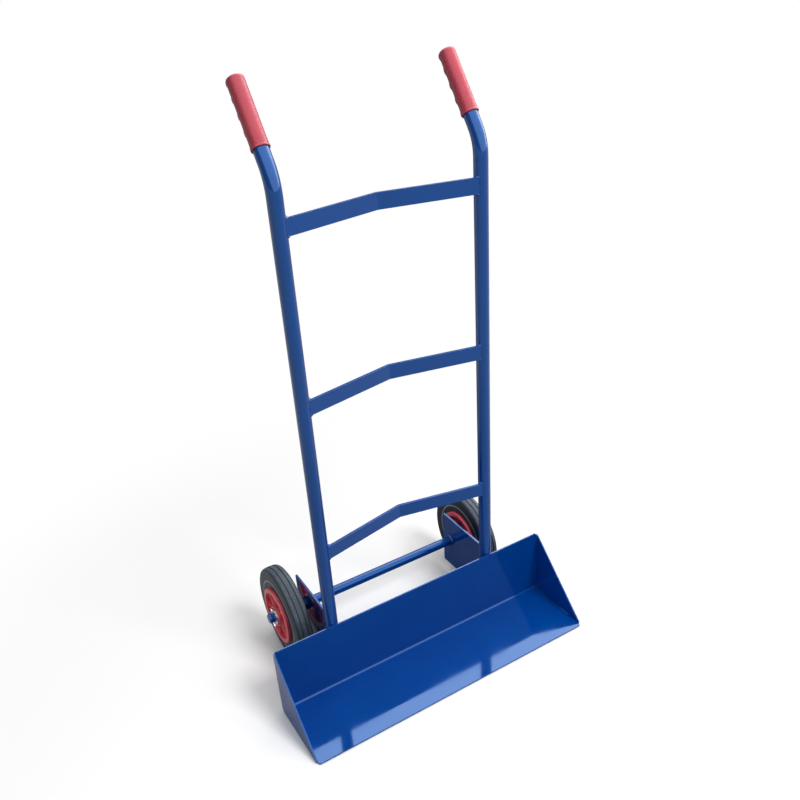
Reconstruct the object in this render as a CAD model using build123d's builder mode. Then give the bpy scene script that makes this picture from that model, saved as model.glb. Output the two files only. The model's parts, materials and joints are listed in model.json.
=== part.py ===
from build123d import *
import os
from math import cos, radians, sin

# Chair trolley: two bent tubes with kinked rungs, a folded toe tray, and two wheels on a through axle.
# Millimetres, +Z up. The origin is on the floor at the middle of the tray's underside.
# The tray opens towards -Y, the wheels stand behind it at +Y, and X runs across the trolley.

os.makedirs("parts", exist_ok=True)

SIDES = (("left", -1), ("right", 1))

# Toe tray
tray_width = 628.0
tray_depth = 154.0
tray_height = 152.0
sheet_thickness = 2.5
fold_radius = 4.0
tray_corner_radius = 5.0

# Triangular plates on the tray's ends
gusset_thickness = 2.5
gusset_top_drop = 3.5
gusset_top_land = 6.0
gusset_nose_height = 5.0
gusset_nose_setback = 6.5
gusset_tip_radius = 2.0

# Uprights and their handles
upright_spacing = 369.0
tube_diameter = 25.4
tube_wall = 2.0
tube_foot_height = 3.0
handle_bend_rise = 45.0
handle_bend_radius = 80.0
handle_tilt = 35.5
handle_bare_length = 20.5

# Rungs
rung_height = 28.0
rung_thickness = 5.0
rung_offset = 8.2
rung_kink_depth = 37.7
rung_kink_radius = 8.0
bottom_rung_level = 317.8
rung_pitch = 302.8

# Grips
grip_length = 112.0
grip_diameter = 28.4
grip_end_wall = 3.0
grip_end_radius = 4.0
grip_lip_length = 3.0
grip_lip_height = 0.8
finger_count = 4
finger_pitch = 26.0
finger_land = 5.0
finger_crest_radius = 14.0
finger_crest_offset = 2.6
finger_groove_depth = 2.2
finger_end_margin = 2.0
finger_end_radius = 4.0

# Axle and the plates that carry it
axle_diameter = 20.0
wheel_to_tube_gap = 18.5
plate_thickness = 4.0
plate_above_axle = 60.5
plate_below_axle = 68.5
plate_behind_axle = 25.5
plate_corner_radius = 1.5
axle_end_chamfer = 1.2
axle_end_margin = 7.0

# Spacers, washers and split pins on the axle
spacer_length = 13.0
spacer_wall = 3.0
washer_diameter = 37.0
washer_thickness = 3.0
pin_shank_diameter = 3.6
pin_leg_facets = 8
pin_leg_gap = 0.2
pin_hole_clearance = 0.3
pin_hole_to_washer = 0.5
pin_eye_width = 10.0
pin_eye_height = 12.0
pin_neck_height = 1.4
pin_leg_drop = 2.5
pin_leg_tail = 9.0
pin_leg_splay = 50.0
pin_bend_radius = 2.2

# Wheels
tyre_diameter = 200.0
tyre_width = 35.0
tread_width = 26.0
tread_drop = 1.2
shoulder_height = 8.0
groove_width = 2.4
groove_depth = 2.2
groove_offset = 5.6
side_ring_diameter = 147.0
side_ring_width = 3.0
side_ring_height = 0.8
rim_width = 46.0
rim_flange_diameter = 118.0
rim_seat_depth = 5.0
rim_wall = 4.0
web_thickness = 6.0
web_flare = 2.5
hub_length = 48.0
hub_wall = 6.5
wheel_rib_count = 8
wheel_rib_thickness = 3.6
wheel_rib_recess = 2.5
rim_edge_chamfer = 1.0

# Roller bearings
roller_diameter = 5.0
roller_count = 8
roller_length = 36.0
cage_pocket_clearance = 0.25
cage_end_gap = 0.5

# Fits
weld_gap = 0.2
sleeve_clearance = 0.25
tyre_clearance = 0.05
grip_clearance = 0.05
bearing_clearance = 0.08
cage_clearance = 0.4
hub_play = 0.5

# Places that follow from the sizes above
tube_radius = tube_diameter / 2
axle_radius = axle_diameter / 2
tyre_radius = tyre_diameter / 2
back_face_y = tray_depth / 2
front_edge_y = -tray_depth / 2
sheet_width = tray_width - 2 * gusset_thickness
tube_x = upright_spacing / 2
tube_y = back_face_y + weld_gap + tube_radius
rung_y = tube_y - rung_offset
top_rung_level = bottom_rung_level + 2 * rung_pitch
handle_bend_level = top_rung_level + handle_bend_rise
axle_y = tube_y + tube_radius + wheel_to_tube_gap + tyre_radius
axle_z = tyre_radius
plate_front_y = tube_y + tube_radius + weld_gap
plate_back_y = axle_y + plate_behind_axle
plate_outer_x = tube_x + plate_thickness / 2
inner_washer_x = plate_outer_x + spacer_length
hub_inner_x = inner_washer_x + washer_thickness + hub_play
wheel_x = hub_inner_x + hub_length / 2
outer_washer_x = hub_inner_x + hub_length + hub_play
pin_leg_radius = pin_shank_diameter / 2
pin_hole_radius = pin_leg_radius + pin_leg_gap / 2 + pin_hole_clearance
pin_x = outer_washer_x + washer_thickness + pin_hole_to_washer + pin_hole_radius
axle_end_x = pin_x + pin_hole_radius + axle_end_margin
roller_orbit = axle_radius + bearing_clearance + roller_diameter / 2
hub_bore_radius = roller_orbit + roller_diameter / 2 + bearing_clearance
hub_radius = hub_bore_radius + hub_wall
rim_flange_radius = rim_flange_diameter / 2
rim_seat_radius = rim_flange_radius - rim_seat_depth
rim_inner_radius = rim_seat_radius - rim_wall
axle_axis = Axis((0, axle_y, axle_z), (1, 0, 0))


def save(piece, name):
    """Label a finished piece and write it to a file of its own."""
    piece.part.label = name
    export_step(piece.part, f"parts/{name}.step")


def across(x, y=0.0, z=0.0):
    """A plane square to X, with local x along +Y and local y along +Z."""
    return Plane(origin=(x, y, z), x_dir=(0, 1, 0), z_dir=(1, 0, 0))


def across_axle(x):
    """The same plane, centred on the axle."""
    return across(x, axle_y, axle_z)


def through_wheel(side):
    """A plane through a wheel's axis, with local x along the axle and local y along its radius."""
    return Plane(origin=(side * wheel_x, axle_y, axle_z), x_dir=(1, 0, 0), z_dir=(0, -1, 0))


def lower_x(side, inner, length):
    """The low-X end of something that runs outwards from |x| = inner on one side."""
    return inner if side > 0 else -inner - length


def corner(sketch, x, y):
    """The corner of a sketch nearest to a point of its plane."""
    return sketch.vertices().sort_by_distance((x, y))[0]


# Toe tray: an L-shaped sheet with one fold, its free corners rounded off
with BuildPart() as toe_tray:
    with BuildSketch(across(0)) as tray_profile:
        with BuildLine():
            Polyline(
                (front_edge_y, 0),
                (back_face_y, 0),
                (back_face_y, tray_height),
                (back_face_y - sheet_thickness, tray_height),
                (back_face_y - sheet_thickness, sheet_thickness),
                (front_edge_y, sheet_thickness),
                close=True,
            )
        make_face()
        fillet(corner(tray_profile, back_face_y, 0), fold_radius + sheet_thickness)
        fillet(corner(tray_profile, back_face_y - sheet_thickness, sheet_thickness), fold_radius)
    extrude(amount=sheet_width / 2, both=True)
    front_corners = toe_tray.edges().filter_by(Axis.Z).group_by(Axis.Y)[0]
    top_corners = toe_tray.edges().filter_by(Axis.Y).group_by(Axis.Z)[-1]
    fillet(front_corners + top_corners, tray_corner_radius)
save(toe_tray, "toe_tray")

# End gussets: triangles with a blunt nose and tip, rounded at the heel to follow the fold
for side_name, side in SIDES:
    with BuildPart() as gusset:
        with BuildSketch(across(lower_x(side, sheet_width / 2, gusset_thickness))) as gusset_outline:
            with BuildLine():
                Polyline(
                    (back_face_y, 0),
                    (back_face_y, tray_height - gusset_top_drop),
                    (back_face_y - gusset_top_land, tray_height - gusset_top_drop),
                    (front_edge_y + gusset_nose_setback, gusset_nose_height),
                    (front_edge_y + gusset_nose_setback, 0),
                    close=True,
                )
            make_face()
            top_tips = gusset_outline.vertices().group_by(Axis.Y)[-1]
            nose_tips = gusset_outline.vertices().group_by(Axis.X)[0]
            fillet(top_tips + nose_tips, gusset_tip_radius)
            fillet(corner(gusset_outline, back_face_y, 0), fold_radius + sheet_thickness)
        extrude(amount=gusset_thickness)
    save(gusset, f"{side_name}_end_gusset")

# Uprights: straight tube up the back of the tray, bent back at the top for the handle
handle_straight = handle_bare_length + grip_length - grip_end_wall
for side_name, side in SIDES:
    with BuildPart() as upright:
        with BuildLine(across(side * tube_x)):
            shank = Line((tube_y, tube_foot_height), (tube_y, handle_bend_level))
            bend = JernArc(shank @ 1, shank % 1, handle_bend_radius, -handle_tilt)
            Line(bend @ 1, bend @ 1 + (bend % 1) * handle_straight)
        with BuildSketch(Plane((side * tube_x, tube_y, tube_foot_height))):
            Circle(tube_radius)
            Circle(tube_radius - tube_wall, mode=Mode.SUBTRACT)
        sweep()
    save(upright, f"{side_name}_upright")

# Rungs: flat bar on edge, kinked back in the middle and coped to the tubes' front halves
for level, rung_name in enumerate(("bottom_rung", "middle_rung", "top_rung")):
    rung_z = bottom_rung_level + level * rung_pitch
    with BuildPart() as rung:
        with BuildSketch(Plane.XY.offset(rung_z - rung_height / 2)) as rung_plan:
            with BuildLine():
                Polyline(
                    (-tube_x, rung_y - rung_thickness / 2),
                    (0, rung_y + rung_kink_depth - rung_thickness / 2),
                    (tube_x, rung_y - rung_thickness / 2),
                    (tube_x, rung_y + rung_thickness / 2),
                    (0, rung_y + rung_kink_depth + rung_thickness / 2),
                    (-tube_x, rung_y + rung_thickness / 2),
                    close=True,
                )
            make_face()
            kink = rung_plan.vertices().group_by(Axis.X)[1].sort_by(Axis.Y)
            fillet(kink[0], rung_kink_radius)
            fillet(kink[1], rung_kink_radius + rung_thickness)
        extrude(amount=rung_height)
        with Locations((-tube_x, tube_y, rung_z), (tube_x, tube_y, rung_z)):
            Cylinder(tube_radius + weld_gap, 2 * rung_height, mode=Mode.SUBTRACT)
    save(rung, rung_name)

# Axle plates: rectangles welded to the backs of the tubes, bored for the axle
for side_name, side in SIDES:
    with BuildPart() as axle_plate:
        with BuildSketch(across(side * tube_x - plate_thickness / 2)) as plate_outline:
            with BuildLine():
                Polyline(
                    (plate_front_y, axle_z - plate_below_axle),
                    (plate_back_y, axle_z - plate_below_axle),
                    (plate_back_y, axle_z + plate_above_axle),
                    (plate_front_y, axle_z + plate_above_axle),
                    close=True,
                )
            make_face()
            fillet(plate_outline.vertices(), plate_corner_radius)
            with Locations((axle_y, axle_z)):
                Circle(axle_radius + weld_gap, mode=Mode.SUBTRACT)
        extrude(amount=plate_thickness)
    save(axle_plate, f"{side_name}_axle_plate")

# Axle: one bar through both plates, with a cross hole near each end
with BuildPart() as axle:
    with BuildSketch(across_axle(0)):
        Circle(axle_radius)
    extrude(amount=axle_end_x, both=True)
    chamfer(axle.edges().filter_by(GeomType.CIRCLE), axle_end_chamfer)
    with BuildSketch(Plane.XY.offset(axle_z)):
        with Locations((-pin_x, axle_y), (pin_x, axle_y)):
            Circle(pin_hole_radius)
    extrude(amount=axle_diameter, both=True, mode=Mode.SUBTRACT)
save(axle, "axle")

# Grips: closed PVC sleeves with a lip at the open end, swollen underneath into lands between the fingers
tilt = radians(handle_tilt)
handle_end_y = tube_y + handle_bend_radius * (1 - cos(tilt)) + handle_straight * sin(tilt)
handle_end_z = handle_bend_level + handle_bend_radius * sin(tilt) + handle_straight * cos(tilt)
handle_axis = (0, sin(tilt), cos(tilt))
underside = (0, cos(tilt), -sin(tilt))
grip_radius = grip_diameter / 2
grip_open_end = grip_end_wall - grip_length
swelling_end = grip_end_wall - finger_end_margin
swelling_start = swelling_end - finger_land - finger_count * finger_pitch
groove_radius = finger_crest_radius - finger_groove_depth
for side_name, side in SIDES:
    handle_end = Plane((side * tube_x, handle_end_y, handle_end_z), x_dir=(1, 0, 0), z_dir=handle_axis)
    finger_plane = Plane(handle_end.origin, x_dir=handle_axis, z_dir=(1, 0, 0)).shift_origin(
        handle_end.origin + Vector(underside) * finger_crest_offset
    )
    with BuildPart() as grip:
        with BuildSketch(handle_end.offset(grip_open_end)):
            Circle(grip_radius)
        extrude(amount=grip_length)
        fillet(grip.edges().sort_by(Axis(handle_end.origin, handle_axis))[-1], grip_end_radius)
        with BuildSketch(finger_plane) as finger_profile:
            with BuildLine():
                Line((swelling_start, 0), (swelling_start, -finger_crest_radius))
                for finger in range(finger_count):
                    land_start = swelling_start + finger * finger_pitch
                    land_end = land_start + finger_land
                    next_land = land_start + finger_pitch
                    Line((land_start, -finger_crest_radius), (land_end, -finger_crest_radius))
                    ThreePointArc(
                        (land_end, -finger_crest_radius),
                        ((land_end + next_land) / 2, -groove_radius),
                        (next_land, -finger_crest_radius),
                    )
                Polyline(
                    (swelling_end - finger_land, -finger_crest_radius),
                    (swelling_end, -finger_crest_radius),
                    (swelling_end, 0),
                    (swelling_start, 0),
                )
            make_face()
            fillet(corner(finger_profile, swelling_end, -finger_crest_radius), finger_end_radius)
        revolve(axis=Axis(finger_plane.origin, handle_axis))
        with BuildSketch(handle_end.offset(grip_open_end)):
            Circle(grip_radius + grip_lip_height)
        extrude(amount=grip_lip_length)
        with BuildSketch(handle_end.offset(grip_open_end)):
            Circle(tube_radius + grip_clearance)
        extrude(amount=grip_length - grip_end_wall, mode=Mode.SUBTRACT)
    save(grip, f"{side_name}_grip")


def axle_ring(name, x, length, outer_radius, inner_radius):
    """A plain ring on the axle, from x to x + length."""
    with BuildPart() as ring:
        with BuildSketch(across_axle(x)):
            Circle(outer_radius)
            Circle(inner_radius, mode=Mode.SUBTRACT)
        extrude(amount=length)
    save(ring, name)


# Spacers and washers, from the plate outwards
sleeve_radius = axle_radius + sleeve_clearance
for side_name, side in SIDES:
    axle_ring(
        f"{side_name}_spacer",
        lower_x(side, plate_outer_x, spacer_length),
        spacer_length,
        sleeve_radius + spacer_wall,
        sleeve_radius,
    )
    for washer_name, washer_x in (("inner_washer", inner_washer_x), ("outer_washer", outer_washer_x)):
        axle_ring(
            f"{side_name}_{washer_name}",
            lower_x(side, washer_x, washer_thickness),
            washer_thickness,
            washer_diameter / 2,
            sleeve_radius,
        )

# Split pins: half-round wire bent into an eye on top, its legs flat to flat and splayed under the axle
leg_y = pin_leg_gap / 2
eye_y = pin_eye_width / 2 - pin_leg_radius
neck_z = axle_radius + pin_neck_height
eye_top_z = neck_z + pin_eye_height - pin_leg_radius
leg_bend_z = -axle_radius - pin_leg_drop
splay = radians(pin_leg_splay)
tail_y = leg_y + pin_leg_tail * sin(splay)
tail_z = leg_bend_z - pin_leg_tail * cos(splay)
for side_name, side in SIDES:
    with BuildPart() as split_pin:
        with BuildLine(across_axle(side * pin_x)) as pin_route:
            FilletPolyline(
                (-tail_y, tail_z),
                (-leg_y, leg_bend_z),
                (-leg_y, neck_z),
                (-eye_y, neck_z + eye_y),
                (-eye_y, eye_top_z),
                (eye_y, eye_top_z),
                (eye_y, neck_z + eye_y),
                (leg_y, neck_z),
                (leg_y, leg_bend_z),
                (tail_y, tail_z),
                radius=pin_bend_radius,
            )
        outwards = (0, -cos(splay), sin(splay))
        with BuildSketch(Plane(pin_route.line @ 0, x_dir=outwards, z_dir=pin_route.line % 0)):
            RegularPolygon(pin_leg_radius, pin_leg_facets)
            with Locations((-pin_leg_radius, 0)):
                Rectangle(2 * pin_leg_radius, 2 * pin_leg_radius, mode=Mode.SUBTRACT)
        sweep(path=pin_route.line)
    save(split_pin, f"{side_name}_split_pin")

# Tyres: solid rubber, with two grooves in the tread and a raised ring on each sidewall
rim_half = rim_width / 2
tyre_half = tyre_width / 2
wall_half = tyre_half - side_ring_height
seat_half = wall_half + tyre_clearance
tread_half = tread_width / 2
ring_low = side_ring_diameter / 2 - side_ring_width / 2
ring_high = side_ring_diameter / 2 + side_ring_width / 2
groove_out = groove_offset + groove_width / 2
groove_in = groove_offset - groove_width / 2
shoulder_radius = tyre_radius - shoulder_height
for side_name, side in SIDES:
    with BuildPart() as tyre:
        with BuildSketch(through_wheel(side)):
            with BuildLine():
                Polyline(
                    (0, rim_seat_radius + tyre_clearance),
                    (wall_half, rim_seat_radius + tyre_clearance),
                    (wall_half, ring_low),
                    (tyre_half, side_ring_diameter / 2),
                    (wall_half, ring_high),
                    (wall_half, shoulder_radius),
                )
                TangentArc(
                    (wall_half, shoulder_radius),
                    (tread_half, tyre_radius - tread_drop),
                    tangent=(0, 1),
                )
                Polyline(
                    (tread_half, tyre_radius - tread_drop),
                    (groove_out, tyre_radius),
                    (groove_out, tyre_radius - groove_depth),
                    (groove_in, tyre_radius - groove_depth),
                    (groove_in, tyre_radius),
                    (0, tyre_radius),
                )
                mirror(about=Plane.YZ)
            make_face()
        revolve(axis=axle_axis)
    save(tyre, f"{side_name}_tyre")

# Wheel centres: moulded rim, web and hub, with ribs on both faces of the web
hub_half = hub_length / 2
web_half = web_thickness / 2
rib_top = rim_half - wheel_rib_recess
rib_length = rim_inner_radius - hub_radius + rim_wall
for side_name, side in SIDES:
    with BuildPart() as wheel_centre:
        with BuildSketch(through_wheel(side)) as centre_profile:
            with BuildLine():
                Polyline(
                    (0, hub_bore_radius),
                    (hub_half, hub_bore_radius),
                    (hub_half, hub_radius),
                    (web_half, hub_radius),
                    (web_half, rim_inner_radius),
                    (rim_half, rim_inner_radius),
                    (rim_half, rim_flange_radius),
                    (seat_half, rim_flange_radius),
                    (seat_half, rim_seat_radius),
                    (0, rim_seat_radius),
                    close=True,
                )
            make_face()
            chamfer(corner(centre_profile, web_half, hub_radius), web_flare)
            chamfer(corner(centre_profile, web_half, rim_inner_radius), web_flare)
            chamfer(corner(centre_profile, rim_half, rim_flange_radius), rim_edge_chamfer)
            mirror(about=Plane.YZ)
        revolve(axis=axle_axis)
        with BuildSketch(across_axle(side * wheel_x - rib_top)):
            with PolarLocations((hub_radius + rim_inner_radius) / 2, wheel_rib_count):
                Rectangle(rib_length, wheel_rib_thickness)
        extrude(amount=2 * rib_top)
    save(wheel_centre, f"{side_name}_wheel_centre")

# Roller cages: moulded sleeves with a pocket for each roller
cage_length = hub_length - 2 * cage_end_gap
cage_inner_radius = axle_radius + cage_clearance
cage_outer_radius = hub_bore_radius - cage_clearance
pocket_length = roller_length + 2 * cage_pocket_clearance
pocket_width = roller_diameter + 2 * cage_pocket_clearance
for side_name, side in SIDES:
    with BuildPart() as roller_cage:
        with BuildSketch(across_axle(side * wheel_x - cage_length / 2)):
            Circle(cage_outer_radius)
            Circle(cage_inner_radius, mode=Mode.SUBTRACT)
        extrude(amount=cage_length)
        with BuildSketch(across_axle(side * wheel_x - pocket_length / 2)):
            with PolarLocations(roller_orbit, roller_count):
                Rectangle(2 * roller_diameter, pocket_width)
        extrude(amount=pocket_length, mode=Mode.SUBTRACT)
    save(roller_cage, f"{side_name}_roller_cage")

# Rollers: a ring of plain steel rollers in each cage
for side_name, side in SIDES:
    with BuildPart() as rollers:
        with BuildSketch(across_axle(side * wheel_x - roller_length / 2)):
            with PolarLocations(roller_orbit, roller_count):
                Circle(roller_diameter / 2)
        extrude(amount=roller_length)
    save(rollers, f"{side_name}_rollers")
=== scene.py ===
# %% [markdown]
# A chair trolley, dressed over its CAD frame.
# The frame file holds every rigid piece at its real size, in metres. This lesson keeps the pieces whose
# shape is already right and gives them real finishes, and it remodels the ones where a mould or a welder
# leaves forms that construction drawings skip: tyres, wheel centres, hand grips and weld beads.

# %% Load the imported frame
import json
import math

import bmesh
import bpy
from mathutils import Matrix, Vector


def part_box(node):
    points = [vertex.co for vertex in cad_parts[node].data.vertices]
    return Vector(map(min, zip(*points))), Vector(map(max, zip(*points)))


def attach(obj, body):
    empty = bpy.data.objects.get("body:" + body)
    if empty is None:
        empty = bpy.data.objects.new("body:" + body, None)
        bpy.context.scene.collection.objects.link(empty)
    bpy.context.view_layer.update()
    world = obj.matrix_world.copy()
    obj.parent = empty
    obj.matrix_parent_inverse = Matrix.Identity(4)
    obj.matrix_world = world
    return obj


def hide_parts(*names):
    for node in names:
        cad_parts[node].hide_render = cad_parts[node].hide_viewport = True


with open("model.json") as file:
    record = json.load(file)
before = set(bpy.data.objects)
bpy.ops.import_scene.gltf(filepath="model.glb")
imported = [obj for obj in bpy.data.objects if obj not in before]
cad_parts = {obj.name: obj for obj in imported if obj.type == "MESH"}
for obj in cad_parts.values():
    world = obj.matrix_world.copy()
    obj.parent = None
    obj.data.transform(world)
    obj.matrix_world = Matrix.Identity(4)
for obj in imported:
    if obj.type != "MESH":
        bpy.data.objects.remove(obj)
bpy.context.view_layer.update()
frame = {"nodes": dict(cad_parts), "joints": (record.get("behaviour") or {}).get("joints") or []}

MM = 0.001
SIDES = {"left": -1, "right": 1}
nodes = frame["nodes"]

# %% [markdown]
# The camera stands where the photographer stood: a little left of the trolley, at about chest height,
# looking down at it, with the camera tipped slightly out of level. Its place and turn are real values in
# the trolley's own frame, so the picture lines up with the photograph piece by piece. A Track To
# constraint could aim it, but would keep it level, so three plain rotations are multiplied instead.

# %% Camera
CAMERA_PLACE = Vector((-0.64129, -1.03853, 1.25806))
CAMERA_AZIMUTH = math.radians(-29.536)
CAMERA_ELEVATION = math.radians(29.519)
CAMERA_ROLL = math.radians(-3.904)
SENSOR_WIDTH = 36.0
LENS = 37.072
PICTURE_SHIFT = 0.0322

scene = bpy.context.scene
scene.view_settings.view_transform = "Standard"

camera_data = bpy.data.cameras.new("camera")
camera_data.sensor_width = SENSOR_WIDTH
camera_data.lens = LENS
camera_data.shift_y = PICTURE_SHIFT
camera = bpy.data.objects.new("camera", camera_data)
scene.collection.objects.link(camera)
camera_turn = (
    Matrix.Rotation(CAMERA_AZIMUTH, 3, "Z")
    @ Matrix.Rotation(math.pi / 2 - CAMERA_ELEVATION, 3, "X")
    @ Matrix.Rotation(CAMERA_ROLL, 3, "Z")
)
camera.matrix_world = Matrix.Translation(CAMERA_PLACE) @ camera_turn.to_4x4()
scene.camera = camera
print("camera height:", round(CAMERA_PLACE.z, 3), "m")

# %% [markdown]
# Every finish below is a small tree of shader nodes. One function adds a node, sets its options and links
# or fills its sockets, and another turns a colour as a paint chart gives it (sRGB hex) into the linear
# numbers that a renderer works in. A third starts a finish and gives back its tree and the place on the
# piece, in metres, that every pattern is laid out by.

# %% Helpers for materials
def linear(hex_colour):
    channels = [int(hex_colour[place:place + 2], 16) / 255 for place in (1, 3, 5)]
    bright = [c / 12.92 if c <= 0.04045 else ((c + 0.055) / 1.055) ** 2.4 for c in channels]
    return (*bright, 1.0)


def add(tree, kind, options=None, sockets=None):
    node = tree.nodes.new(kind)
    for name, value in (options or {}).items():
        setattr(node, name, value)
    for name, value in (sockets or {}).items():
        if isinstance(value, bpy.types.NodeSocket):
            tree.links.new(value, node.inputs[name])
        else:
            node.inputs[name].default_value = value
    return node


def new_finish(name):
    material = bpy.data.materials.new(name)
    material.use_nodes = True
    tree = material.node_tree
    tree.nodes.clear()
    return material, tree, add(tree, "ShaderNodeTexCoord").outputs["Object"]


print("mid grey in linear light:", round(linear("#808080")[0], 3))

# %% [markdown]
# A few patterns come back in every finish. They could be node groups, but a group hides its nodes from the
# reader, so each is a short function that calls the one above: a noise whose size is a real length, a mix
# of two colours, a range that is spread to another one, evenly or eased at both ends, a bump of a real
# depth, and the coat that closes the tree.

# %% Helpers for patterns
FULL_RANGE = (0.0, 1.0)


def noise(tree, place, size, detail=2.0, distortion=0.0):
    sockets = {"Vector": place, "Scale": 1 / size, "Detail": detail, "Distortion": distortion}
    return add(tree, "ShaderNodeTexNoise", None, sockets).outputs["Fac"]


def mix(tree, factor, first, second):
    sockets = {"Factor": factor, 6: first, 7: second}
    return add(tree, "ShaderNodeMix", {"data_type": "RGBA"}, sockets).outputs[2]


def spread(tree, value, target, source=FULL_RANGE, eased=False):
    sockets = {
        "Value": value,
        "From Min": source[0],
        "From Max": source[1],
        "To Min": target[0],
        "To Max": target[1],
    }
    kind = "SMOOTHSTEP" if eased else "LINEAR"
    return add(tree, "ShaderNodeMapRange", {"interpolation_type": kind}, sockets).outputs["Result"]


def bump(tree, height, depth, below=None):
    sockets = {"Height": height, "Strength": 1.0, "Distance": depth}
    if below is not None:
        sockets["Normal"] = below
    return add(tree, "ShaderNodeBump", None, sockets).outputs["Normal"]


def coat(tree, sockets):
    skin = add(tree, "ShaderNodeBsdfPrincipled", None, sockets)
    add(tree, "ShaderNodeOutputMaterial", None, {"Surface": skin.outputs["BSDF"]})


print("pattern functions: noise, mix, spread, bump and coat")

# %% [markdown]
# The frame is finished in blue stove enamel: sprayed over the welded steel and baked. It is a deep, even
# colour with a glossy skin, a faint orange peel about 4 mm across and tiny dust nibs. Slow clouds, 90 mm
# across, change the colour a little and the gloss more, so a reflection is crisp in one place and softer
# in the next. The skin's reflection is tinted pale blue, as gloss blue paint looks under soft white light.
# A painted texture could carry such marks, but noise that is laid out in metres needs no unwrapping and
# keeps its size on every piece.

# %% Blue stove enamel
PEEL_SIZE = 4.0 * MM
PEEL_DEPTH = 0.012 * MM
CLOUD_SIZE = 90.0 * MM
CLOUD_RANGE = (0.35, 0.65)
NIB_SPACING = 11.0 * MM
NIB_HEIGHT = 0.05 * MM
NIB_REACH = 0.05

blue_enamel, tree, place = new_finish("blue_stove_enamel")
clouds = noise(tree, place, CLOUD_SIZE, detail=3.0)
peel = noise(tree, place, PEEL_SIZE, detail=1.0)
nibs = add(tree, "ShaderNodeTexVoronoi", None, {"Vector": place, "Scale": 1 / NIB_SPACING})
nib_tops = spread(tree, nibs.outputs["Distance"], (1.0, 0.0), source=(0.0, NIB_REACH), eased=True)
coat(tree, {
    "Base Color": mix(tree, clouds, linear("#003780"), linear("#00418F")),
    "Roughness": spread(tree, clouds, (0.04, 0.11), source=CLOUD_RANGE),
    "IOR": 1.5,
    "Specular IOR Level": 0.8,
    "Specular Tint": linear("#9AC8FF"),
    "Normal": bump(tree, nib_tops, NIB_HEIGHT, below=bump(tree, peel, PEEL_DEPTH)),
})
print("finish:", blue_enamel.name)

# %% [markdown]
# Washers and split pins are zinc plated: a bright grey metal with a slightly mottled, satin surface, since
# the plating follows the rolled steel below. Tone, gloss and level could each have a noise, but on real
# plating they change together, so one noise drives all three.

# %% Bright zinc plate
MOTTLE_SIZE = 6.0 * MM
MOTTLE_DEPTH = 0.02 * MM

zinc_plate, tree, place = new_finish("bright_zinc_plate")
mottle = noise(tree, place, MOTTLE_SIZE, detail=5.0)
coat(tree, {
    "Base Color": mix(tree, mottle, linear("#B9BEC4"), linear("#DDE0E2")),
    "Metallic": 1.0,
    "Roughness": spread(tree, mottle, (0.22, 0.42)),
    "Normal": bump(tree, mottle, MOTTLE_DEPTH),
})
print("finish:", zinc_plate.name)

# %% [markdown]
# The hand grips are dip-moulded red PVC. It is a soft plastic with a satin skin: light sinks in a little,
# the highlight is broad, and hands leave it slightly uneven. A little subsurface light gives the pinkish
# glow at its edges, and faint waves 2.5 mm across keep it from looking like gloss paint.

# %% Red dipped PVC
WAVE_SIZE = 2.5 * MM
WAVE_DEPTH = 0.002 * MM
HANDLED_SIZE = 24.0 * MM

red_pvc, tree, place = new_finish("red_dipped_pvc")
handled = noise(tree, place, HANDLED_SIZE, detail=4.0)
waves = noise(tree, place, WAVE_SIZE)
coat(tree, {
    "Base Color": mix(tree, handled, linear("#9E2D3F"), linear("#AE3B4C")),
    "Roughness": spread(tree, handled, (0.32, 0.42)),
    "IOR": 1.53,
    "Specular IOR Level": 0.4,
    "Subsurface Weight": 0.12,
    "Subsurface Radius": (1.0, 0.3, 0.25),
    "Subsurface Scale": 2.0 * MM,
    "Normal": bump(tree, waves, WAVE_DEPTH),
})
print("finish:", red_pvc.name)

# %% [markdown]
# The tyres are solid black rubber. New rubber is dark and dull, with a bloom that turns it slightly blue
# grey. Floor dust stays on the tread. The raised ring on the sidewall is painted a paler grey all round, a
# painted highlight where light catches the ring. Both follow the distance from the axle, which a Mapping
# node gives by moving the axle to the middle and dropping X, so no mask has to be painted. Two short
# functions do the sums, on numbers and on vectors.

# %% Black tyre rubber
SIDE_RING_RADIUS = 73.5 * MM
SIDE_RING_WIDTH = 3.0 * MM
BLOOM_SIZE = 30.0 * MM
DUST_SIZE = 5.0 * MM
DUST_DEPTH = 0.06 * MM
DUST_START = 3.0 * MM
DUST_FULL = 0.4 * MM
DUST_RANGE = (0.3, 0.7)
DUST_COVER = (0.35, 0.9)


def compute(tree, operation, *numbers):
    return add(tree, "ShaderNodeMath", {"operation": operation}, dict(enumerate(numbers))).outputs["Value"]


def measure(tree, operation, *vectors):
    node = add(tree, "ShaderNodeVectorMath", {"operation": operation}, dict(enumerate(vectors)))
    return node.outputs["Value"]


joint_place = {joint["name"]: joint["pos_m"] for joint in frame["joints"]}
_, axle_y, axle_z = joint_place["left_wheel_spin"]
tyre_low, tyre_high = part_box("left_tyre")
tyre_radius = (tyre_high[2] - tyre_low[2]) / 2

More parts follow.
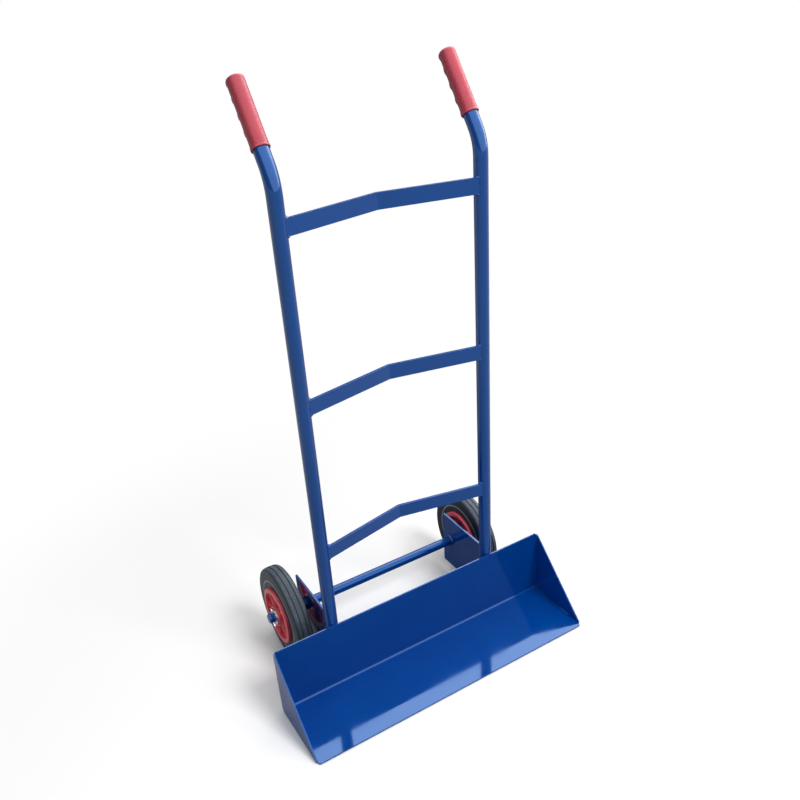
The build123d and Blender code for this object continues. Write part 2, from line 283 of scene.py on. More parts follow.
black_rubber, tree, place = new_finish("black_tyre_rubber")
from_axle = add(
    tree, "ShaderNodeMapping", None,
    {"Vector": place, "Location": (0.0, -axle_y, -axle_z), "Scale": (0.0, 1.0, 1.0)},
)
distance = measure(tree, "LENGTH", from_axle.outputs["Vector"])
bloom = noise(tree, place, BLOOM_SIZE, detail=4.0)
dust = noise(tree, place, DUST_SIZE, detail=6.0)
tread_edge = (tyre_radius - DUST_START, tyre_radius - DUST_FULL)
on_tread = spread(tree, distance, FULL_RANGE, source=tread_edge, eased=True)
dusty = spread(tree, dust, DUST_COVER, source=DUST_RANGE)
# The sidewall ring's paler grey is a painted highlight where light catches the raised ring.
ring_highlight_mask = compute(tree, "COMPARE", distance, SIDE_RING_RADIUS, SIDE_RING_WIDTH / 2)
bare = mix(tree, bloom, linear("#141C26"), linear("#212D3A"))
with_painted_ring_highlight = mix(tree, ring_highlight_mask, bare, linear("#8E9398"))
coat(tree, {
    "Base Color": mix(tree, compute(tree, "MULTIPLY", on_tread, dusty), with_painted_ring_highlight, linear("#4C5660")),
    "Roughness": spread(tree, bloom, (0.42, 0.58)),
    "IOR": 1.52,
    "Specular IOR Level": 0.3,
    "Normal": bump(tree, dust, DUST_DEPTH),
})
print("finish:", black_rubber.name, "on a tyre of radius", round(tyre_radius / MM, 1), "mm")

# %% [markdown]
# The wheel centres are injection-moulded red polypropylene: a clear red, semi-gloss, with faint flow
# marks from the mould and a fine spark-eroded texture. The flow marks are a noise with distortion, which
# pulls its spots into streaks. The texture is a bump, since a grain of 0.7 mm is too fine for a mesh.

# %% Red moulded polypropylene
FLOW_SIZE = 18.0 * MM
SPARK_SIZE = 0.7 * MM
SPARK_DEPTH = 0.012 * MM

red_moulding, tree, place = new_finish("red_moulded_polypropylene")
flow = noise(tree, place, FLOW_SIZE, detail=3.0, distortion=1.2)
spark = noise(tree, place, SPARK_SIZE)
coat(tree, {
    "Base Color": mix(tree, flow, linear("#D04656"), linear("#E65A68")),
    "Roughness": spread(tree, flow, (0.26, 0.40)),
    "IOR": 1.49,
    "Subsurface Weight": 0.06,
    "Subsurface Radius": (1.0, 0.2, 0.2),
    "Subsurface Scale": 1.5 * MM,
    "Normal": bump(tree, spark, SPARK_DEPTH),
})
print("finish:", red_moulding.name)

# %% [markdown]
# Inside each hub, a cage of natural nylon holds ground steel rollers. Nylon is a milky cream that light
# enters, and the rollers are bright with fine grinding marks round them. Real grooves would need many
# thousands of faces, so the marks are a noise that a Mapping node stretches.

# %% Natural nylon and ground bearing steel
GRIND_PITCH = 0.4 * MM
GRIND_LENGTH = 25.0 * MM

natural_nylon, tree, place = new_finish("natural_moulded_nylon")
milk = noise(tree, place, FLOW_SIZE, detail=3.0)
coat(tree, {
    "Base Color": mix(tree, milk, linear("#CFC7B2"), linear("#E0DAC8")),
    "Roughness": spread(tree, milk, (0.35, 0.5)),
    "IOR": 1.53,
    "Subsurface Weight": 0.2,
    "Subsurface Radius": (1.0, 0.9, 0.7),
    "Subsurface Scale": 2.0 * MM,
})

bearing_steel, tree, place = new_finish("ground_bearing_steel")
stretched = add(
    tree, "ShaderNodeMapping", None,
    {"Vector": place, "Scale": (1 / GRIND_PITCH, 1 / GRIND_LENGTH, 1 / GRIND_LENGTH)},
)
marks = noise(tree, stretched.outputs["Vector"], size=1.0)
coat(tree, {
    "Base Color": mix(tree, marks, linear("#A9ADB1"), linear("#CDD0D2")),
    "Metallic": 1.0,
    "Roughness": spread(tree, marks, (0.12, 0.28)),
})
print("finishes:", natural_nylon.name, "and", bearing_steel.name)

# %% [markdown]
# The record already says which material slot each CAD node has. A node keeps its mesh and only gets the
# finish of that slot, so a part added to the frame later is dressed without a new line here.

# %% Dress the CAD pieces
finishes = {
    "blue_enamel": blue_enamel,
    "zinc_plate": zinc_plate,
    "red_pvc": red_pvc,
    "black_rubber": black_rubber,
    "red_moulding": red_moulding,
    "natural_nylon": natural_nylon,
    "bearing_steel": bearing_steel,
}
dressed = 0
for node in nodes.values():
    for material_slot in node.material_slots:
        slot_name = material_slot.material.name.split(".")[0]
        material_slot.material = finishes[slot_name]
        dressed += 1
print("CAD material slots dressed:", dressed)

# %% [markdown]
# Sheared sheet and sawn bar have edges that paint rounds off, and a rounded edge catches a thin line of
# light. A CAD node's mesh stays as it is, so this is left to live modifiers: geometry nodes join the loose
# triangles and shade them smooth, a bevel rounds every sharp edge, and weighted normals keep flats flat.

# %% Rounded edges on sheet, plate and bar
EDGE_ROUNDING = 0.6 * MM
EDGE_SEGMENTS = 3
EDGE_ANGLE = math.radians(40)
JOIN_DISTANCE = 0.004 * MM

joined_faces = bpy.data.node_groups.new("joined_faces", "GeometryNodeTree")
for in_out in ("INPUT", "OUTPUT"):
    joined_faces.interface.new_socket("Geometry", in_out=in_out, socket_type="NodeSocketGeometry")
loose = add(joined_faces, "NodeGroupInput")
merged = add(
    joined_faces, "GeometryNodeMergeByDistance", None,
    {"Geometry": loose.outputs["Geometry"], "Distance": JOIN_DISTANCE},
)
plain = add(joined_faces, "GeometryNodeSetMeshNormal", None, {"Mesh": merged.outputs["Geometry"]})
smooth = add(joined_faces, "GeometryNodeSetShadeSmooth", None, {"Geometry": plain.outputs["Mesh"]})
add(joined_faces, "NodeGroupOutput", None, {"Geometry": smooth.outputs["Geometry"]})

sharp_pieces = [
    "toe_tray", "left_end_gusset", "right_end_gusset", "left_axle_plate", "right_axle_plate",
    "top_rung", "middle_rung", "bottom_rung",
]
for name in sharp_pieces:
    joined = nodes[name].modifiers.new("joined_faces", "NODES")
    joined.node_group = joined_faces
    rounded = nodes[name].modifiers.new("rounded_edges", "BEVEL")
    rounded.width = EDGE_ROUNDING
    rounded.segments = EDGE_SEGMENTS
    rounded.limit_method = "ANGLE"
    rounded.angle_limit = EDGE_ANGLE
    nodes[name].modifiers.new("flat_faces", "WEIGHTED_NORMAL")
print("pieces with rounded edges:", len(sharp_pieces))

# %% [markdown]
# New pieces come out of a bmesh. This helper turns one into an object at the origin, smooths its faces
# up to a crease angle, hangs it on the body that carries it, gives it the finish of its slot and hides the
# CAD part that it replaces.

# %% A helper that finishes a piece
CREASE = math.radians(35)


def make_piece(name, bm, body, slot_name, replaced=None):
    mesh = bpy.data.meshes.new(name)
    bm.to_mesh(mesh)
    bm.free()
    mesh.shade_smooth()
    mesh.set_sharp_from_angle(angle=CREASE)
    mesh.materials.append(finishes[slot_name])
    piece = bpy.data.objects.new(name, mesh)
    scene.collection.objects.link(piece)
    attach(piece, body)
    if replaced:
        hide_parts(replaced)
    print(name, "faces:", len(mesh.polygons))


print("crease angle:", round(math.degrees(CREASE)), "degrees")

# %% [markdown]
# A tyre, a wheel centre and a grip are all turned forms. Their section is drawn once as a chain of corners,
# each with a place along the axis, a distance out from it and the rounding that its mould has, and then
# spun. A vertex bevel rounds the corners of a bare chain of edges, which is quicker than rounding whole
# rings after the spin. For a wheel, one half of the section is written down and the other mirrors it.

# %% Helpers that draw and spin a rounded section
CORNER_SEGMENTS = 4
SAME_PLACE = 0.002 * MM


def draw_section(bm, corners, to_place, closed):
    verts = [bm.verts.new(to_place(along, out)) for along, out, _ in corners]
    for first, second in zip(verts, verts[1:]):
        bm.edges.new((first, second))
    if closed:
        bm.edges.new((verts[-1], verts[0]))
    for vert, (_, _, rounding) in zip(verts, corners):
        if rounding:
            bmesh.ops.bevel(
                bm, geom=[vert], offset=rounding, affect="VERTICES", segments=CORNER_SEGMENTS, profile=0.5,
                material=-1,
            )


def weld_faces(bm):
    bmesh.ops.remove_doubles(bm, verts=bm.verts, dist=SAME_PLACE)
    bmesh.ops.recalc_face_normals(bm, faces=bm.faces)


def spin_section(bm, centre, axis, steps):
    bmesh.ops.spin(
        bm, geom=bm.verts[:] + bm.edges[:], cent=centre, axis=axis, dvec=(0, 0, 0),
        angle=2 * math.pi, steps=steps, use_merge=True, use_duplicate=False,
    )
    weld_faces(bm)


def spin_on_wheel(side, half, steps):
    x, y, z = joint_place[f"{side}_wheel_spin"]
    corners = half + [(-along, out, rounding) for along, out, rounding in reversed(half)]
    bm = bmesh.new()
    draw_section(bm, corners, lambda along, out: (x + along, y, z + out), closed=True)
    spin_section(bm, (x, y, z), (1, 0, 0), steps)
    return bm


print("corner rounding:", CORNER_SEGMENTS, "segments")

# %% [markdown]
# Each tyre is a solid ring of rubber stretched over the rim. The section goes out from the bore along the
# sidewall, over the raised ring, round the shoulder and across three tread ribs with two grooves between
# them. Grooves could be pressed into a finished ring, but spun with it they run true and need few faces.

# %% Tyres
BORE_RADIUS = 54.05 * MM
RING_HEIGHT = 0.8 * MM
SHOULDER_DROP = 2.2 * MM
SHOULDER_ROUNDING = 4.6 * MM
GROOVE_PLACE = 5.6 * MM
GROOVE_WIDTH = 2.4 * MM
GROOVE_DEPTH = 2.2 * MM
TYRE_STEPS = 128

wall = (tyre_high[0] - tyre_low[0]) / 2 - RING_HEIGHT
groove_outer = GROOVE_PLACE + GROOVE_WIDTH / 2
groove_inner = GROOVE_PLACE - GROOVE_WIDTH / 2
groove_bottom = tyre_radius - GROOVE_DEPTH
tyre_half = [
    (wall, BORE_RADIUS, 0.6 * MM),
    (wall, SIDE_RING_RADIUS - SIDE_RING_WIDTH / 2, 0.3 * MM),
    (wall + RING_HEIGHT, SIDE_RING_RADIUS, 0.7 * MM),
    (wall, SIDE_RING_RADIUS + SIDE_RING_WIDTH / 2, 0.3 * MM),
    (wall, tyre_radius - SHOULDER_DROP, SHOULDER_ROUNDING),
    (groove_outer, tyre_radius, 0.7 * MM),
    (groove_outer, groove_bottom, 0.6 * MM),
    (groove_inner, groove_bottom, 0.6 * MM),
    (groove_inner, tyre_radius, 0.7 * MM),
]
for side in SIDES:
    bm = spin_on_wheel(side, tyre_half, TYRE_STEPS)
    make_piece(f"{side}_rubber_tyre", bm, f"{side}_wheel", "black_rubber", f"{side}_tyre")

# %% [markdown]
# The wheel centre is one moulding: a hub, a thin web and a rim whose flanges hold the tyre. Ribs stiffen
# the web on both faces. The body is spun, with the draft that lets it leave its mould. Each rib is a block
# that tapers to its top edge, rounded, set round the hub by a loop. A boolean could join ribs and body, but
# where a rib only runs into the wall beside it, letting the two overlap looks the same.

# %% Wheel centres
RIM_HALF = 23.0 * MM
RIM_SEAT_RADIUS = 54.0 * MM
RIM_INNER_RADIUS = 50.0 * MM
TYRE_CLEARANCE = 0.05 * MM
WEB_HALF = 3.0 * MM
HUB_BORE_RADIUS = 15.16 * MM
HUB_RADIUS = 21.66 * MM
MOULD_DRAFT = 0.9 * MM
RIB_COUNT = 8
RIB_THICKNESS = 3.6 * MM
RIB_TOP = 20.5 * MM
RIB_DRAFT = 0.72
RIB_OVERLAP = 1.0 * MM
RIB_ROUNDING = 0.8 * MM
CENTRE_STEPS = 96

hub_low, hub_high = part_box("left_wheel_centre")
rim_flange_radius = (hub_high[2] - hub_low[2]) / 2
hub_half = (hub_high[0] - hub_low[0]) / 2
seat_half = wall + TYRE_CLEARANCE
centre_half = [
    (hub_half, HUB_BORE_RADIUS, 0.8 * MM),
    (hub_half, HUB_RADIUS, 1.2 * MM),
    (WEB_HALF, HUB_RADIUS + MOULD_DRAFT, 2.0 * MM),
    (WEB_HALF, RIM_INNER_RADIUS - MOULD_DRAFT, 2.2 * MM),
    (RIM_HALF, RIM_INNER_RADIUS, 0.9 * MM),
    (RIM_HALF, rim_flange_radius, 1.4 * MM),
    (seat_half, rim_flange_radius, 0.4 * MM),
    (seat_half, RIM_SEAT_RADIUS, 0.0),
]


def add_rib(bm, wheel_x, face, turn):
    inner = HUB_RADIUS - RIB_OVERLAP
    outer = RIM_INNER_RADIUS + RIB_OVERLAP
    block = bmesh.ops.create_cube(bm, size=1.0)["verts"]
    bmesh.ops.scale(bm, verts=block, vec=(RIB_TOP, RIB_THICKNESS, outer - inner))
    bmesh.ops.translate(bm, verts=block, vec=(RIB_TOP / 2, 0, (inner + outer) / 2))
    top = [vert for vert in block if vert.co.x > RIB_TOP / 2]
    bmesh.ops.scale(bm, verts=top, vec=(1, RIB_DRAFT, 1))
    edges = {edge for vert in top for edge in vert.link_edges if edge.other_vert(vert) in top}
    made = bmesh.ops.bevel(
        bm, geom=list(edges), offset=RIB_ROUNDING, affect="EDGES", segments=3, profile=0.5, material=-1
    )
    verts = list({vert for vert in block if vert.is_valid} | set(made["verts"]))
    if face < 0:
        bmesh.ops.rotate(bm, verts=verts, matrix=Matrix.Rotation(math.pi, 3, "Z"))
    bmesh.ops.rotate(bm, verts=verts, matrix=Matrix.Rotation(turn, 3, "X"))
    bmesh.ops.translate(bm, verts=verts, vec=(wheel_x, axle_y, axle_z))


for side in SIDES:
    wheel_x = joint_place[f"{side}_wheel_spin"][0]
    bm = spin_on_wheel(side, centre_half, CENTRE_STEPS)
    for rib in range(RIB_COUNT):
        for face in (-1, 1):
            add_rib(bm, wheel_x, face, rib * 2 * math.pi / RIB_COUNT)
    make_piece(f"{side}_moulded_centre", bm, f"{side}_wheel", "red_moulding", f"{side}_wheel_centre")

# %% [markdown]
# A grip is a PVC sleeve pushed over the bent end of the tube. Its section is spun about the handle: a bore,
# a small lip at the open end, a plain wall and a rounded closed end with the nub that the dipping leaves.
# These are its sizes. Lengths count from the end of the tube, where the closed end begins.

# %% Sizes of a hand grip
HANDLE_TILT = math.radians(35.5)
GRIP_LENGTH = 112.0 * MM
GRIP_RADIUS = 14.2 * MM
GRIP_END_WALL = 3.0 * MM
GRIP_END_ROUNDING = 4.0 * MM
GRIP_BORE_RADIUS = 12.75 * MM
LIP_LENGTH = 3.0 * MM
LIP_HEIGHT = 0.8 * MM
NUB_RADIUS = 2.6 * MM
NUB_HEIGHT = 0.7 * MM
NUB_ROOT = 0.2 * MM
NUB_TAPER = 0.6
GRIP_STEPS = 72
GRIP_RINGS = 150

open_end = GRIP_END_WALL - GRIP_LENGTH
handle_axis = Vector((0, math.sin(HANDLE_TILT), math.cos(HANDLE_TILT)))
handle_under = Vector((0, math.cos(HANDLE_TILT), -math.sin(HANDLE_TILT)))
grip_corners = [
    (0.0, 0.0, 0.0),
    (0.0, GRIP_BORE_RADIUS, 0.0),
    (open_end, GRIP_BORE_RADIUS, 0.5 * MM),
    (open_end, GRIP_RADIUS + LIP_HEIGHT, 0.9 * MM),
    (open_end + LIP_LENGTH, GRIP_RADIUS + LIP_HEIGHT, 0.7 * MM),
    (open_end + LIP_LENGTH + LIP_HEIGHT, GRIP_RADIUS, 0.5 * MM),
    (GRIP_END_WALL, GRIP_RADIUS, GRIP_END_ROUNDING),
    (GRIP_END_WALL + NUB_ROOT, NUB_RADIUS, 0.3 * MM),
    (GRIP_END_WALL + NUB_HEIGHT, NUB_RADIUS * NUB_TAPER, 0.5 * MM),
    (GRIP_END_WALL + NUB_HEIGHT, 0.0, 0.0),
]
print("grip sections have", len(grip_corners), "corners")

# %% [markdown]
# The underside of a grip is pressed outwards: four finger grooves lie between five lands, and both follow a
# circle that sits a little below the handle's own axis, so that the top of the grip stays round. A smooth
# maximum blends that circle into the round wall, and the swelling fades out at both ends of the row. A
# grip could be sculpted, but a formula gives every groove the same depth and both grips the same form.

# %% Hand grips
FINGER_COUNT = 4
FINGER_PITCH = 26.0 * MM
FINGER_LAND = 5.0 * MM
FINGER_DEPTH = 2.2 * MM
FINGER_END_MARGIN = 2.0 * MM
CREST_RADIUS = 14.0 * MM
CREST_OFFSET = 2.6 * MM
CREST_BLEND = 0.9 * MM
SWELLING_FADE = 4.0 * MM
END_SWELLING = 0.45
BORE_MARGIN = 0.3 * MM
END_MARGIN = 0.1 * MM

fingers_end = GRIP_END_WALL - FINGER_END_MARGIN
fingers_start = fingers_end - FINGER_LAND - FINGER_COUNT * FINGER_PITCH


def groove_depth(along):
    scoop_length = FINGER_PITCH - FINGER_LAND
    into_scoop = (along - fingers_start) % FINGER_PITCH - FINGER_LAND
    if into_scoop < 0:
        return 0.0
    return FINGER_DEPTH * (1 - (2 * into_scoop / scoop_length - 1) ** 2)


def pressed_radius(along, turn):
    crest = CREST_RADIUS - groove_depth(along)
    reach = CREST_OFFSET * math.cos(turn)
    reach += math.sqrt(crest ** 2 - (CREST_OFFSET * math.sin(turn)) ** 2)
    step = reach - GRIP_RADIUS
    return GRIP_RADIUS + max(0.0, (step + math.sqrt(step ** 2 + CREST_BLEND ** 2)) / 2 - CREST_BLEND / 8)


def press_fingers(bm, handle_end):
    for vert in bm.verts:
        offset = vert.co - handle_end
        along = offset.dot(handle_axis)
        outwards = offset - handle_axis * along
        in_wall = outwards.length > GRIP_BORE_RADIUS + BORE_MARGIN or along > END_MARGIN
        if not in_wall or along < fingers_start:
            continue
        turn = math.atan2(outwards.x, outwards.dot(handle_under))
        swelling = pressed_radius(along, turn) / GRIP_RADIUS - 1
        swelling *= min(1.0, (along - fingers_start) / SWELLING_FADE)
        to_end = (GRIP_END_WALL - along) / FINGER_LAND
        swelling *= min(1.0, END_SWELLING + (1 - END_SWELLING) * to_end)
        vert.co += outwards * swelling


for side in SIDES:
    tube_low, tube_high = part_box(f"{side}_upright")
    tube_radius = (tube_high[0] - tube_low[0]) / 2
    handle_end = Vector((
        (tube_low[0] + tube_high[0]) / 2,
        tube_high[1] - tube_radius * math.cos(HANDLE_TILT),
        tube_high[2] - tube_radius * math.sin(HANDLE_TILT),
    ))
    bm = bmesh.new()
    draw_section(
        bm, grip_corners, lambda along, out: handle_end + handle_axis * along + handle_under * out,
        closed=False,
    )
    long_edges = [edge for edge in bm.edges if edge.calc_length() > GRIP_LENGTH / 2]
    bmesh.ops.subdivide_edges(bm, edges=long_edges, cuts=GRIP_RINGS)
    spin_section(bm, handle_end, handle_axis, GRIP_STEPS)
    press_fingers(bm, handle_end)
    make_piece(f"{side}_hand_grip", bm, "frame", "red_pvc", f"{side}_grip")

# %% [markdown]
# The frame is welded, so every joint carries a bead. A bead is a thin rope of metal with a ripple where
# each drop froze. It could be a row of flattened balls, but a curve with a round bevel follows any seam by
# itself. Its point radius gives the ripple and the thin start and end, and it becomes a mesh at once. The
# lower half is sunk in the joint, as on the real frame.

# %% A helper that lays weld beads
RIPPLE_PITCH = 2.8 * MM
RIPPLE_STEPS = 4
RIPPLE_HEIGHT = 0.10
BEAD_START = 0.55
BEAD_GROWTH = 0.15


def along_seam(corners):
    step = RIPPLE_PITCH / RIPPLE_STEPS
    points = []
    for first, second in zip(corners, corners[1:]):
        count = max(1, round((second - first).length / step))
        points += [first.lerp(second, place / count) for place in range(count)]
    return points + [corners[-1]]


def lay_welds(name, seams, radius):
    curve = bpy.data.curves.new(name, "CURVE")
    curve.dimensions = "3D"
    curve.bevel_depth = radius
    curve.bevel_resolution = 2
    curve.use_fill_caps = True
    for corners in seams:
        points = along_seam(corners)
        spline = curve.splines.new("POLY")
        spline.points.add(len(points) - 1)
        for number, place in enumerate(points):
            ends = min(1.0, BEAD_START + BEAD_GROWTH * min(number, len(points) - 1 - number))
            ripple = 1 + RIPPLE_HEIGHT * math.sin(2 * math.pi * number / RIPPLE_STEPS)
            spline.points[number].co = (*place, 1)
            spline.points[number].radius = ends * ripple
    rope = bpy.data.objects.new(name, curve)
    bm = bmesh.new()
    bm.from_mesh(bpy.data.meshes.new_from_object(rope))
    weld_faces(bm)
    bpy.data.objects.remove(rope)
    make_piece(name, bm, "frame", "blue_enamel")


print("weld ripples:", round(RIPPLE_PITCH / MM, 1), "mm apart")

# %% [markdown]
# Each rung meets its tubes end on, a little in front of their axes. A full bead runs over the top of the
# bar's end, down its back and along below, on the curve of the tube. In front, where bar and tube are
# nearly flush, a low one fills the seam. The rung leaves the tube at a small angle, because it is kinked
# back in the middle.

# %% Rung welds
RUNG_THICKNESS = 5.0 * MM
RUNG_OFFSET = 8.2 * MM
RUNG_BEAD = 2.8 * MM
FACE_BEAD = 1.2 * MM

tube_low, tube_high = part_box("right_upright")
tube_radius = (tube_high[0] - tube_low[0]) / 2
tube_x = (tube_low[0] + tube_high[0]) / 2
tube_y = tube_low[1] + tube_radius
rung_seams = []
face_seams = []
for rung in ("top_rung", "middle_rung", "bottom_rung"):
    rung_low, rung_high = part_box(rung)
    kink_depth = rung_high[1] - tube_y + RUNG_OFFSET - RUNG_THICKNESS / 2
    lean = math.atan2(kink_depth, tube_x)
    turns = [
        lean + math.asin(math.cos(lean) * (across - RUNG_OFFSET) / tube_radius)
        for across in (-RUNG_THICKNESS / 2, 0, RUNG_THICKNESS / 2)
    ]
    for sign in SIDES.values():
        upper, lower = [
            [Vector((
                sign * (tube_x - tube_radius * math.cos(turn)), tube_y + tube_radius * math.sin(turn), level
            )) for turn in turns]
            for level in (rung_high[2], rung_low[2])
        ]
        rung_seams.append(upper + lower[::-1])
        face_seams.append([upper[0], lower[0]])
lay_welds("rung_welds", rung_seams, RUNG_BEAD)
lay_welds("rung_face_welds", face_seams, FACE_BEAD)

# %% [markdown]
# The tubes lie against the back of the tray, and the axle plates against the back of the tubes. A welder
# joins such long seams with short stitches, near the top and the bottom, to keep the sheet from warping.
# Between a flat sheet and a round tube the bead nestles where both are one bead's radius away, and then it
# is sunk a little. Its place could be found by eye, but the two radii give it for any size of tube.

# %% Tray and axle plate stitches
STITCH_LENGTH = 28.0 * MM
STITCH_MARGIN = 9.0 * MM
TRAY_BEAD = 2.2 * MM
TRAY_BEAD_SINK = 1.2 * MM
PLATE_BEAD = 2.0 * MM
PLATE_BEAD_OUT = 0.5 * MM
PLATE_BEAD_BACK = 0.3 * MM


def stitches(x, y, low, high):
    bottom = low + STITCH_MARGIN
    top = high - STITCH_MARGIN
    return [
        [Vector((x, y, bottom)), Vector((x, y, bottom + STITCH_LENGTH))],
        [Vector((x, y, top - STITCH_LENGTH)), Vector((x, y, top))],
    ]


tray_low, tray_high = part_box("toe_tray")
plate_low, plate_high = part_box("right_axle_plate")
nestle = 2 * math.sqrt(tube_radius * TRAY_BEAD) - TRAY_BEAD_SINK
plate_side = (plate_high[0] - plate_low[0]) / 2 + PLATE_BEAD_OUT
tray_seams = []
plate_seams = []
for sign in SIDES.values():
    for across in (-1, 1):
        tray_seams += stitches(
            sign * tube_x + across * nestle, tray_high[1] + TRAY_BEAD / 2, tray_low[2], tray_high[2]
        )
        plate_seams += stitches(
            sign * tube_x + across * plate_side, plate_low[1] + PLATE_BEAD_BACK, plate_low[2], plate_high[2]
        )
lay_welds("tray_welds", tray_seams, TRAY_BEAD)
lay_welds("axle_plate_welds", plate_seams, PLATE_BEAD)

# %% [markdown]
# The axle runs through both plates and is welded all round on their inner faces, where the bead is a ring.
# The end gussets are stitched to the tray inside, along the base and up the back.

# %% Axle and gusset welds
AXLE_RADIUS = 10.0 * MM
AXLE_BEAD = 3.2 * MM
AXLE_BEAD_LIFT = 0.4 * MM
RING_STEPS = 40
SHEET_THICKNESS = 2.5 * MM
GUSSET_BEAD = 1.3 * MM
GUSSET_STITCH_STARTS = (0.25, 0.80)

ring_radius = AXLE_RADIUS + AXLE_BEAD_LIFT
ring_turns = [step * 2 * math.pi / RING_STEPS for step in range(RING_STEPS + 1)]
back_y = tray_high[1] - SHEET_THICKNESS
base_z = tray_low[2] + SHEET_THICKNESS
axle_seams = []
gusset_seams = []
for side, sign in SIDES.items():
    ring_x = sign * (plate_low[0] - AXLE_BEAD_LIFT)
    axle_seams.append([
        Vector((ring_x, axle_y + ring_radius * math.cos(turn), axle_z + ring_radius * math.sin(turn)))
        for turn in ring_turns
    ])
    gusset_low, gusset_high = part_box(f"{side}_end_gusset")
    seam_x = gusset_high[0] if sign < 0 else gusset_low[0]
    for start in GUSSET_STITCH_STARTS:
        across = tray_low[1] + start * (back_y - tray_low[1])
        level = tray_low[2] + start * (tray_high[2] - tray_low[2])
        gusset_seams += [
            [Vector((seam_x, across, base_z)), Vector((seam_x, across + STITCH_LENGTH, base_z))],
            [Vector((seam_x, back_y, level)), Vector((seam_x, back_y, level + STITCH_LENGTH))],
        ]
lay_welds("axle_welds", axle_seams, AXLE_BEAD)
lay_welds("gusset_welds", gusset_seams, GUSSET_BEAD)

# %% [markdown]
# Floor and room are seen by three kinds of rays, and Light Path tells them apart: those of the camera,
# those that a shiny surface mirrors, and those that only carry light. The first helper gives the first two
# as switches. The second says how far a direction points a given way, and the third blends two numbers.
# Separate pictures could be made and combined, but with these one picture is enough.

# %% Helpers for the stage
def ray_switches(tree):
    rays = add(tree, "ShaderNodeLightPath").outputs
    mirrored = compute(tree, "MAXIMUM", rays["Is Glossy Ray"], rays["Is Transmission Ray"])
    return rays["Is Camera Ray"], mirrored


def pointing(tree, direction, way, edge, target=FULL_RANGE):
    return spread(tree, measure(tree, "DOT_PRODUCT", direction, way), target, source=edge, eased=True)


def blend(tree, factor, first, second):
    return add(tree, "ShaderNodeMix", None, {"Factor": factor, "A": first, "B": second}).outputs["Result"]


print("stage functions: ray_switches, pointing and blend")

# %% [markdown]
# The stage is a white sweep. Near the trolley the floor is matt and takes its shadow. Farther out it turns
# to plain white, so the lamp's falloff doesn't show. The camera sees white paper, while the light that the
# floor throws back on the trolley is that of a light grey floor. Only the camera and mirror-like surfaces
# see the plain white beyond. Mirrored, the floor is darker in the sector behind the trolley, so that the
# rims of the tubes stay blue in front of the white. The paper sags 2 mm below the trolley's underside, so
# the tray's edge throws a thin line of shadow.

# %% Floor
FLOOR_SIZE = 200.0
SHADOW_EDGE = (0.5, 1.3)
BACK_WAY = (0.4, 0.92, 0.0)
DARK_EDGE = (0.6, 0.85)
DARK_LEVEL = 0.3
PAPER_DROP = 2.0 * MM
PAPER_TONE = linear("#F7F7F7")
GREY_TONE = linear("#C8C8C8")
DARK_TONE = linear("#404040")

white_paper, tree, place = new_finish("white_paper_sweep")
to_camera, mirrored = ray_switches(tree)
fade = spread(tree, measure(tree, "LENGTH", place), FULL_RANGE, source=SHADOW_EDGE, eased=True)
bearing = add(tree, "ShaderNodeVectorMath", {"operation": "NORMALIZE"}, {0: place}).outputs["Vector"]
bright = pointing(tree, bearing, BACK_WAY, DARK_EDGE, (1.0, DARK_LEVEL))
seen = compute(tree, "MAXIMUM", to_camera, compute(tree, "MULTIPLY", mirrored, bright))
grey = mix(tree, mirrored, GREY_TONE, mix(tree, bright, DARK_TONE, GREY_TONE))
matt = add(tree, "ShaderNodeBsdfDiffuse", None, {"Color": mix(tree, to_camera, grey, PAPER_TONE)})
beyond = add(tree, "ShaderNodeEmission", None, {"Strength": seen})
sweep = add(
    tree, "ShaderNodeMixShader", None, {0: fade, 1: matt.outputs["BSDF"], 2: beyond.outputs["Emission"]}
)
add(tree, "ShaderNodeOutputMaterial", None, {"Surface": sweep.outputs["Shader"]})

floor_mesh = bpy.data.meshes.new("floor")
bm = bmesh.new()
bmesh.ops.create_grid(bm, x_segments=1, y_segments=1, size=FLOOR_SIZE / 2)
bmesh.ops.translate(bm, verts=bm.verts, vec=(0, 0, -PAPER_DROP))
bm.to_mesh(floor_mesh)
bm.free()
floor_mesh.materials.append(white_paper)
floor = bpy.data.objects.new("floor", floor_mesh)
scene.collection.objects.link(floor)
print("floor:", FLOOR_SIZE, "m across")

# %% [markdown]
# The room fills in light from the left and from behind. What the enamel mirrors is set apart from what
# lights it: a bright ceiling that comes down to the floor in front, dark walls behind, and a brighter part
# high up behind on the right, which the tray shows as a pale band. The camera sees plain white.

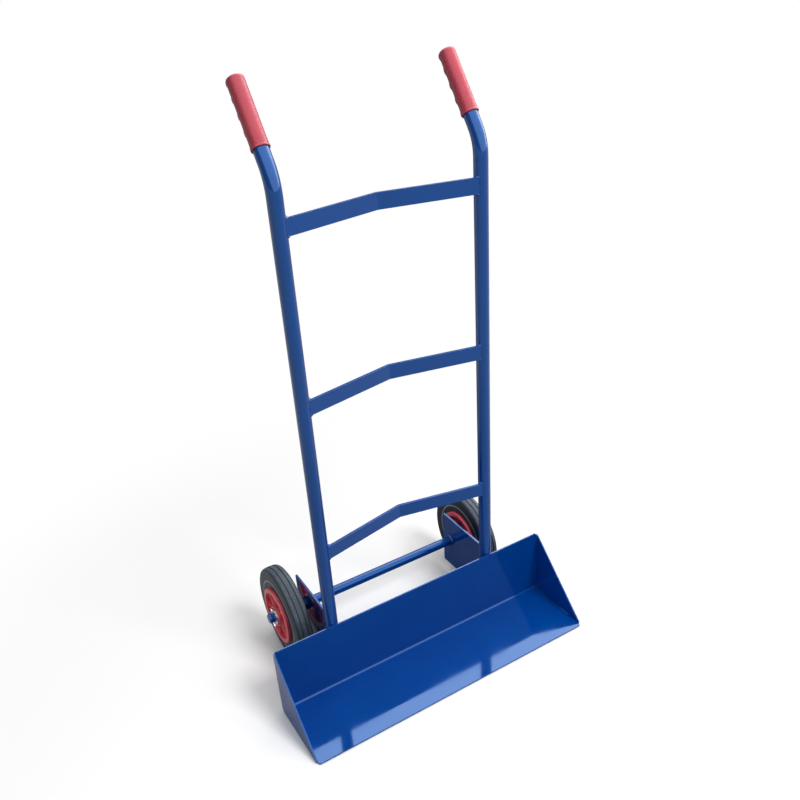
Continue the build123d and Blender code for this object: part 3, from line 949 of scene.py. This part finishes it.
# %% Room
CEILING_WAY = (0.3, -0.45, 0.84)
CEILING_EDGE = (0.26, 0.38)
FILL_WAY = (-0.8, 0.6, 0.0)
FILL_EDGE = (0.0, 0.5)
BACKDROP_WAY = (0.8, 0.6, 0.0)
BACKDROP_EDGE = (0.35, 0.55)
WALL_LIGHT = 0.16
CEILING_LIGHT = 0.22
FILL_LIGHT = 0.55
WALL_SHEEN = 0.4
CEILING_SHEEN = 2.8
BACKDROP_SHEEN = 5.5
PLAIN_WHITE = 1.0

world = bpy.data.worlds.new("white_room")
world.use_nodes = True
tree = world.node_tree
tree.nodes.clear()
to_camera, mirrored = ray_switches(tree)
direction = add(tree, "ShaderNodeTexCoord").outputs["Generated"]
ceiling = pointing(tree, direction, CEILING_WAY, CEILING_EDGE)
fill = pointing(tree, direction, FILL_WAY, FILL_EDGE)
behind = pointing(tree, direction, BACKDROP_WAY, BACKDROP_EDGE)
light = blend(tree, fill, blend(tree, ceiling, WALL_LIGHT, CEILING_LIGHT), FILL_LIGHT)
high_behind = compute(tree, "MULTIPLY", behind, ceiling)
sheen = blend(tree, high_behind, blend(tree, ceiling, WALL_SHEEN, CEILING_SHEEN), BACKDROP_SHEEN)
room = blend(tree, to_camera, blend(tree, mirrored, light, sheen), PLAIN_WHITE)
walls = add(tree, "ShaderNodeBackground", None, {"Color": linear("#FFFFFF"), "Strength": room})
add(tree, "ShaderNodeOutputWorld", None, {"Surface": walls.outputs["Background"]})
scene.world = world
print("room:", world.name)

# %% [markdown]
# A broad softbox hangs overhead. A smaller one in front, a little to the right, throws the short soft
# shadow that lies behind the pieces and to their left. The softboxes themselves aren't mirrored. Their
# strength is given as radiance, so that a larger box isn't dimmer, and it is set so that a colour looks
# about as it is written.

# %% Lamps
LAMP_AIM = Vector((0, 0.1, 0.3))


def hang_softbox(name, place, size, radiance):
    lamp = bpy.data.lights.new(name, "AREA")
    lamp.size = size
    lamp.energy = radiance * math.pi * size ** 2
    softbox = bpy.data.objects.new(name, lamp)
    scene.collection.objects.link(softbox)
    softbox.visible_camera = False
    softbox.visible_glossy = False
    turn = (place - LAMP_AIM).to_track_quat("Z", "Y")
    softbox.matrix_world = Matrix.Translation(place) @ turn.to_matrix().to_4x4()
    print(name, "height:", round(place.z, 2), "m")


hang_softbox("overhead_softbox", place=Vector((0.8, 0.2, 3.0)), size=3.2, radiance=1.8)
hang_softbox("front_softbox", place=Vector((0.74, -2.12, 3.04)), size=1.25, radiance=17.5)
